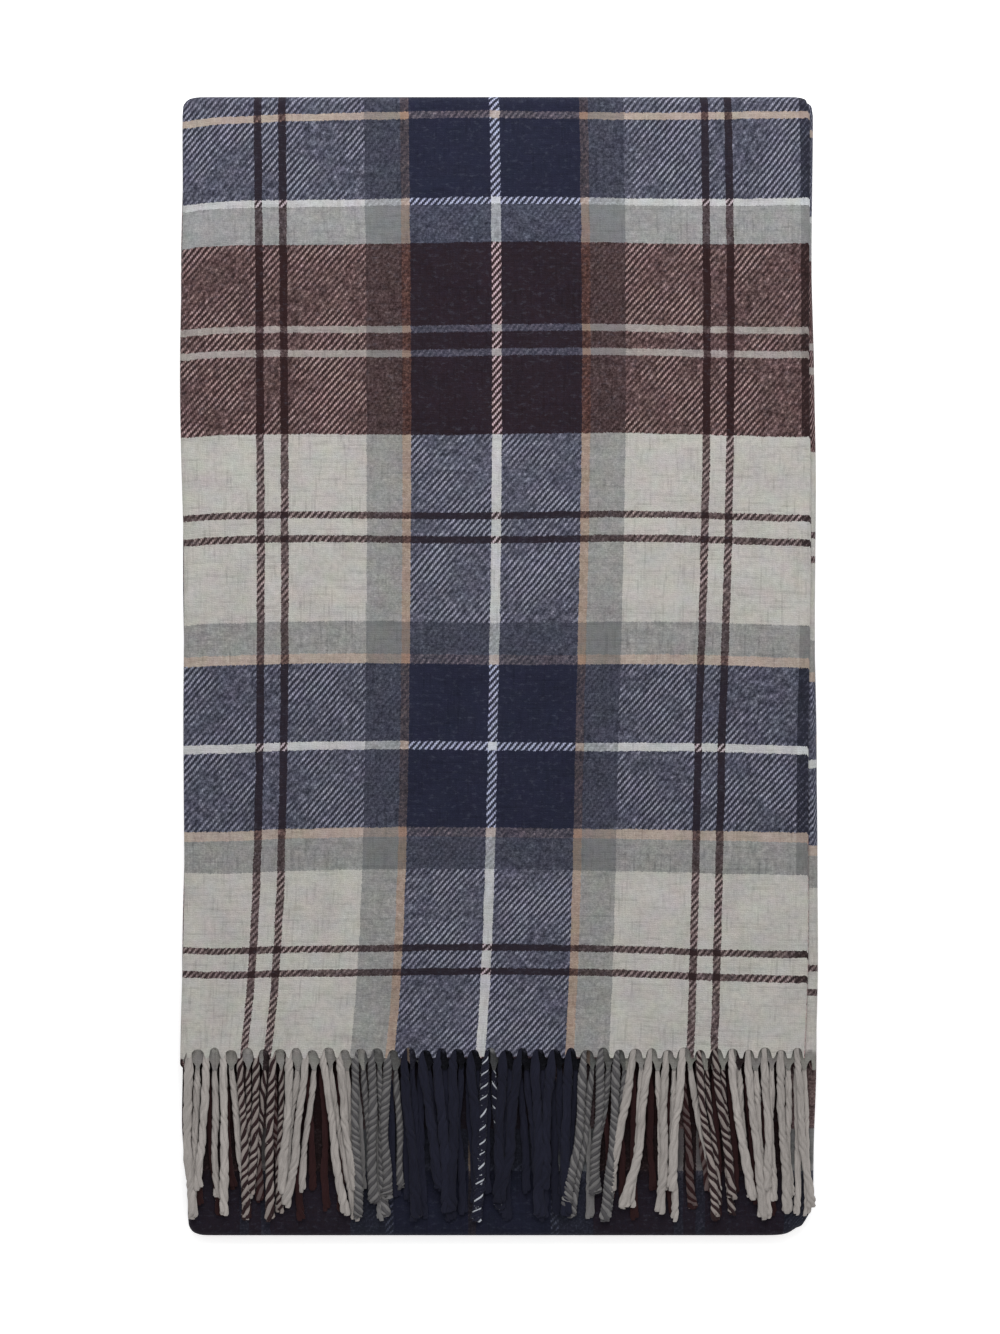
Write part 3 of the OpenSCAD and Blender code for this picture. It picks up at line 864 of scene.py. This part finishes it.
def rope(line, wide, high, lay, strands, handed, sides, phase, wrapped):
    """Twisted strands round a line of points. wide and high are half the rope's size at each point.
    In a wrapped rope the first strand is thin and winds round the others. Returns points, quads, end
    faces, the quads' UV corners and strand numbers."""
    ahead = np.gradient(line, axis=0)
    ahead /= np.linalg.norm(ahead, axis=1)[:, None]
    across = np.cross(ahead, (0.0, 0.0, 1.0))
    across /= np.linalg.norm(across, axis=1)[:, None]
    up = np.cross(across, ahead)
    gone = np.concatenate([[0], np.cumsum(np.linalg.norm(np.diff(line, axis=0), axis=1))])
    ring = np.linspace(0, 2 * math.pi, sides, endpoint=False)
    rows = len(line)
    splay = 1 + 0.5 * smooth(0.90, 1.0, gone / gone[-1])
    twist = gone / lay + 0.13 * np.sin(gone / 7.3 + 2 * phase) + 0.08 * np.sin(gone / 3.1 + phase)
    points, quads, ends, corners, ply = [], [], [], [], []
    for s in range(strands):
        first = s * rows * sides
        turn = phase + 2 * math.pi * s / strands + handed * 2 * math.pi * twist
        core, thick = (0.46, 0.58) if strands > 3 else (0.40, 0.60)
        if wrapped and s == 0:
            core, thick = 0.55, 0.28
        px = core * wide * splay * np.cos(turn)
        pz = core * high * np.sin(turn)
        px = px[:, None] + (thick * wide)[:, None] * np.cos(ring)
        pz = pz[:, None] + (thick * high)[:, None] * np.sin(ring)
        spot = line[:, None, :] + px[..., None] * across[:, None, :]
        spot = spot + pz[..., None] * up[:, None, :]
        spot[-2:] += ahead[-1] * 1.3 * math.sin(s * 2.4 + phase)
        points.append(spot.reshape(-1, 3))
        quads.append(loop_quads(rows, sides, first))
        last = first + (rows - 1) * sides
        ends.append(list(range(first + sides - 1, first - 1, -1)))
        ends.append(list(range(last, last + sides)))
        a0, g0 = np.meshgrid(np.arange(sides) / sides, gone[:-1] * MM + s)
        a1, g1 = np.meshgrid(np.arange(1, sides + 1) / sides, gone[1:] * MM + s)
        corners.append(np.stack([a0, g0, a1, g0, a1, g1, a0, g1], axis=-1).reshape(-1, 2))
        ply.append(np.full(rows * sides, s))
    points, quads, corners, ply = (np.concatenate(part) for part in (points, quads, corners, ply))
    return points, quads, ends, corners, ply


class Batch:
    """Collects ropes into one mesh."""

    def __init__(self):
        self.points, self.quads, self.ends, self.corners, self.ply, self.tone = [], [], [], [], [], []
        self.first = 0

    def add(self, parts, tone, second):
        """second holds the numbers of the strands in the second colour."""
        points, quads, ends, corners, ply = parts
        self.points.append(points)
        self.quads.append(quads + self.first)
        self.ends += [[i + self.first for i in face] for face in ends]
        self.corners.append(corners)
        self.ply.append(np.isin(ply, second) * 1.0)
        self.tone.append(tone * (1 + 0.03 * (ply - 1)))
        self.first += len(points)

    def build(self, name, material):
        points = np.concatenate(self.points)
        points = np.stack(settle(points[:, 0], points[:, 1], points[:, 2]), axis=-1)
        spare = sum(len(face) for face in self.ends)
        corners = np.concatenate(self.corners + [np.zeros((spare, 2))])
        faces = np.concatenate(self.quads).tolist() + self.ends
        extra = [("ply", np.concatenate(self.ply)), ("tone", np.concatenate(self.tone))]
        return add_object(name, points, faces, corners, material, "yarn", len(faces), extra)


def scatter(k, salt):
    """A repeatable number from 0 to 1."""
    value = math.sin(k * 12.9898 + salt * 78.233) * 43758.5453
    return value - math.floor(value)


@dataclass
class Row:
    """A row of tassels: where it starts, where it comes to rest, and how its ropes are made."""

    number: int  # sets the scatter of the row
    third: str
    y: float  # where its cloth ends
    way: int  # -1 where it points to the near side, 1 to the far side
    z_root: float
    z_rest: float
    z_tip: float
    wide: float
    high: float
    step: float  # between two points of a rope
    sides: int
    short: float = 0.0  # how much less of each tassel is outside its cloth

    def line(self, k, lean, curl):
        """Points along tassel k, and how far each is from the cloth's end."""
        number = self.number
        angle = math.radians(TASSEL_TURN * k + ROW_TURN * number)
        length = TASSEL_LEN + TASSEL_VARY * math.sin(angle) - self.short
        gone = np.linspace(-ROOT, length, int((length + ROOT) / self.step) + 1)
        s = np.maximum(gone, 0) / length
        waves = s * (0.7 + 0.8 * scatter(k, number + 3)) + scatter(k, number + 5)
        wave = np.sin(2 * math.pi * waves)
        x = tassel_x(k, self.third) + lean * s**1.15 + curl * smooth(0.6, 1.0, s)
        x = x + (wave - wave[0]) * s**0.5
        z = self.z_root + (self.z_rest - self.z_root) * smooth(0, 0.3, s)
        z = z + (self.z_tip - self.z_rest) * s**2
        z = z + 0.35 * np.sin(7 * s + 6.3 * scatter(k, number + 9)) * s
        return np.stack([x, self.y + self.way * gone, z], axis=-1), gone

    def strands(self, k, yarn):
        """Number of strands, length of one twist, and the strands that have the second colour."""
        chance = scatter(k, self.number + 19)
        if yarn in ("marled", "pink"):
            return 4, 14 + 5 * chance, (0, 2)
        if yarn == "grey" and self.sides > 7:
            return 4, 9.5 + 4 * chance, (0, 2)
        if yarn == "white":
            return 4, 9.5, (0,)
        lay = (34 + 22 * chance) * (1.7 if yarn == "navy" else 1.0)
        return (2 if self.sides < 7 else 3), lay, ()

    def tassel(self, batch, k, yarn, lean, curl):
        """lean is how far the tip lies to the right of the root, and curl how far its last third
        bends aside."""
        number = self.number
        line, gone = self.line(k, lean, curl)
        # Thin and flat where it leaves the cloth, fullest near the tip.
        size = 0.92 + 0.16 * scatter(k, number + 13)
        uneven = 1 + 0.06 * np.sin(gone / 5.1 + 9 * scatter(k, 15))
        uneven = uneven + 0.05 * np.sin(gone / 11.7 + 9 * scatter(k, 17))
        full = self.wide / 2 * FULLNESS.get(yarn, 1.0) * size
        wide = full * uneven * (0.60 + 0.30 * smooth(0, 14, gone) + 0.18 * smooth(50, 105, gone))
        high = self.high / 2 * uneven * (0.42 + 0.58 * smooth(0, 16, gone))
        wide[-1] *= 0.8
        high[-1] *= 0.7
        strands, lay, second = self.strands(k, yarn)
        handed = 1 if scatter(k, number + 23) > 0.4 else -1
        phase = 6.28 * scatter(k, number + 7)
        parts = rope(line, wide, high, lay, strands, handed, self.sides, phase, yarn == "white")
        batch.add(parts, 0.88 + 0.2 * scatter(k, number + 11), second)


def rope_piece(row, node, yarn, leans, curls=(), name=None):
    """One piece for a CAD node's tassels. leans and curls hold a value for a tassel's number."""
    batch, curls = Batch(), dict(curls)
    for k, lean in leans.items():
        row.tassel(batch, k, yarn, lean, curls.get(k, 0))
    piece = batch.build(name or node.replace("tassel", "rope"), MATERIALS[yarn])
    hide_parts(node)
    return piece


# The material's name and the one or two colours of each yarn.
YARNS = {
    "light": ("light_yarn", "tassel"),
    "marled": ("marled_yarn", "marl", "line"),
    "grey": ("grey_yarn", "ash", "smoke"),
    "navy": ("navy_yarn", "ink"),
    "white": ("white_marl_yarn", "ink", "white"),
    "maroon": ("maroon_yarn", "maroon"),
    "pink": ("maroon_marl_yarn", "maroon", "faded"),
}
MATERIALS = {yarn: yarn_material(*look) for yarn, look in YARNS.items()}

# Tassels of the face row, left to right: CAD node, first, last, yarn.
FACE_ROW = [
    ("face_tassels_light_a", 0, 2, "light"),
    ("face_tassels_marled_a", 3, 5, "marled"),
    ("face_tassels_light_b", 6, 9, "light"),
    ("face_tassels_grey_a", 10, 12, "grey"),
    ("face_tassels_navy_a", 13, 17, "navy"),
    ("face_tassel_white", 18, 18, "white"),
    ("face_tassels_navy_b", 19, 23, "navy"),
    ("face_tassels_grey_b", 24, 26, "grey"),
    ("face_tassels_light_c", 27, 30, "light"),
    ("face_tassels_marled_b", 31, 32, "marled"),
    ("face_tassels_light_d", 33, 37, "light"),
]
# How each tassel of the face row was left lying: tip to the right of root, in millimetres.
FACE_LEAN = [
    -2, -3, -1, 4, -5, -3, -6, -11, 15, 10, 3, 1, -3,
    9, 14, 8, -2, 7, -8, -3, -9, 3, -5, -1, -9, -5, -8,
    -15, -12, -2, -8, 14, 13, 13, 12, 4, 7, 11,
]
# Most tucked tassels lie behind one of the face row. These lie in the open.
TUCKED_LEAN = {1: -2, 5: -1, 7: -9, 12: 3, 18: 3, 27: -7, 29: 1, 32: 6, 35: 2}
FACE_CURL = {0: 1.5, 1: -4, 7: -3, 12: 3, 20: -3, 24: -3, 28: -4, 33: 3, 35: -2}


def tucked_lean(k):
    """Lean that brings tucked tassel k behind the face tassel on its left or right."""
    if k in TUCKED_LEAN:
        return TUCKED_LEAN[k]
    if k == 37 or scatter(k, 61) < 0.5:
        return FACE_LEAN[k] - TASSEL_PITCH / 2
    return FACE_LEAN[k + 1] + TASSEL_PITCH / 2


def under_lean(k):
    return 4.5 + 3 * math.sin(k * 1.3)


# CAD node and tassels of each yarn. The tucked row's yarns follow the face row's.
TUCKED_ROW = {}
for _, first, last, yarn in FACE_ROW:
    node = "tucked_tassel_white" if yarn == "white" else f"tucked_tassels_{yarn}"
    TUCKED_ROW.setdefault(yarn, (node, []))[1].extend(range(first, last + 1))
MAROON = [0, 1, 2, 3, 6, 7, 8, 9, 25, 26, 27, 28, 29, 32, 33, 34, 35, 36]
UNDER_ROW = {
    "maroon": ("under_tassels_maroon", MAROON),
    "pink": ("under_tassels_pink", [4, 5, 30, 31]),
    "grey": ("under_tassels_silver", [10, 11, 23, 24]),
    "navy": ("under_tassels_navy", list(range(12, 23))),
    "light": ("under_tassel_light", [37]),
}

Z_MIDDLE = 2 * PANEL_PITCH - PANEL_GAP  # top of the middle panel
Z_FACE, Z_TUCKED, Z_UNDER = (2 * PANEL_PITCH + height for height in (H_LEFT, H_RIGHT, H_CENTRE))


def make_face_row():
    heights = (Z_FACE, Z_FACE - 1.0, Z_FACE - 2.4)
    row = Row(2, "left", Y_FACE_END, -1, *heights, wide=6.4, high=4.2, step=1.3, sides=10)
    pieces = []
    for node, first, last, yarn in FACE_ROW:
        leans = {k: FACE_LEAN[k] for k in range(first, last + 1)}
        piece = rope_piece(row, node, yarn, leans, FACE_CURL)
        # At exactly a half turn, the order of the bodies decides which way the cloth bends.
        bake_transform(piece)
        pieces.append(piece)
    return pieces


def make_lower_row(number, third, order, lean, z, **made):
    """A row under the face row, one piece for each yarn. lean(k) is tassel k's lean."""
    row = Row(number, third, Y_HIDDEN_END, -1, *z, short=LAYER_STEP, **made)
    return [
        rope_piece(row, node, yarn, {k: lean(k) for k in members})
        for yarn, (node, members) in order.items()
    ]


def make_lower_rows():
    z = (Z_TUCKED, Z_MIDDLE + 2.6, Z_MIDDLE + 2.0)
    made = {"wide": 5.4, "high": 3.4, "step": 1.4, "sides": 9}
    tucked = make_lower_row(1, "right", TUCKED_ROW, tucked_lean, z, **made)
    z = (Z_UNDER, Z_MIDDLE + 1.3, Z_MIDDLE + 1.3)
    made = {"wide": 5.6, "high": 2.4, "step": 2.2, "sides": 7}
    under = make_lower_row(0, "centre", UNDER_ROW, under_lean, z, **made)
    return tucked + under


def make_base_rows():
    pieces = []
    for number, third, z, high in (
        (3, "centre", H_CENTRE + 0.6, 2.6),
        (4, "right", H_RIGHT, 3.0),
        (5, "left", H_LEFT - 0.6, 2.6),
    ):
        row = Row(number, third, Y_BASE_END, 1, z, z, z, wide=4.4, high=high, step=3.0, sides=6)
        tassels = range(TASSELS)
        leans = {k: 4 * math.sin(k * 1.9 + number) * scatter(k, 50 + number) for k in tassels}
        node = f"base_{third}_tassels"
        pieces.append(rope_piece(row, node, "light", leans, name=f"base_ropes_{third}"))
    return pieces


face_row = make_face_row()
row_pieces = make_lower_rows()
base_pieces = make_base_rows()

# ------ what rides on what

THIRDS = ("left", "centre", "right")
SIDES = ("left", "right")
for panel, cloth in (("top", top_cloth), ("middle", middle_cloth), ("base", base_cloth)):
    thirds = [f"{panel}_{third}_third" for third in THIRDS]
    edges = [f"{panel}_{side}_{kind}" for kind in ("fold", "selvedge") for side in SIDES]
    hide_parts(*thirds, *edges)
    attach(cloth, f"{panel}_panel")
for panel, band in (("top", top_band), ("base", base_band)):
    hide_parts(*[f"{panel}_{third}_end" for third in THIRDS])
    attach(band, f"{panel}_panel")
for piece in row_pieces:
    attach(piece, "top_panel")
for piece in base_pieces:
    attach(piece, "base_panel")

for (side, third), piece in turns.items():
    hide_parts(f"{side}_fold_{third}_third")
    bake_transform(piece)

# ------ camera, floor and light

FLOOR_HALF = 20.0  # metres, half of the floor's side


def make_camera():
    """Straight above the throw, and far from it."""
    data = bpy.data.cameras.new("camera")
    data.lens = 100
    data.sensor_width = 36
    data.clip_end = 20
    bpy.context.scene.camera = add_to_scene("camera", data, (0.0, 0.0, 2.57))


def floor_material():
    material, tree, shader = new_material("pale_floor")
    solid = tree.add("TexCoord").outputs["Object"]
    rough = tree.remap(tree.noise(solid, 60, 3), 0.3, 0.7, 0.7, 0.9)
    tree.fill(shader, {"Base Color": (0.9, 0.9, 0.9, 1.0), "Roughness": rough})
    tree.fill(shader, {"Emission Color": (1.0, 1.0, 1.0, 1.0), "Emission Strength": 0.45})
    tree.fill(shader, {"Specular IOR Level": 0.1})
    return material


def make_floor():
    signs = ((-1, -1), (1, -1), (1, 1), (-1, 1))
    corners = [(x * FLOOR_HALF, y * FLOOR_HALF, -0.0005) for x, y in signs]
    mesh = bpy.data.meshes.new("floor")
    mesh.from_pydata(corners, [], [(0, 1, 2, 3)])
    mesh.materials.append(floor_material())
    add_to_scene("floor", mesh)


def make_softbox(name, place, target, size, power):
    """A square area light facing target."""
    data = bpy.data.lights.new(name, "AREA")
    data.shape = "SQUARE"
    data.size = size
    data.energy = power
    lamp = add_to_scene(name, data, place)
    lamp.rotation_euler = (Vector(target) - Vector(place)).to_track_quat("-Z", "Y").to_euler()


def make_world(strength):
    world = bpy.data.worlds.new("studio")
    world.use_nodes = True
    background = world.node_tree.nodes["Background"]
    background.inputs[0].default_value = (1.0, 1.0, 1.0, 1.0)
    background.inputs[1].default_value = strength
    bpy.context.scene.world = world


make_camera()
make_floor()
make_softbox("overhead", (0.05, 0.9, 1.0), (0, 0, 0), 1.1, 13.8)
make_world(0.70)
bpy.context.scene.view_settings.view_transform = "Standard"
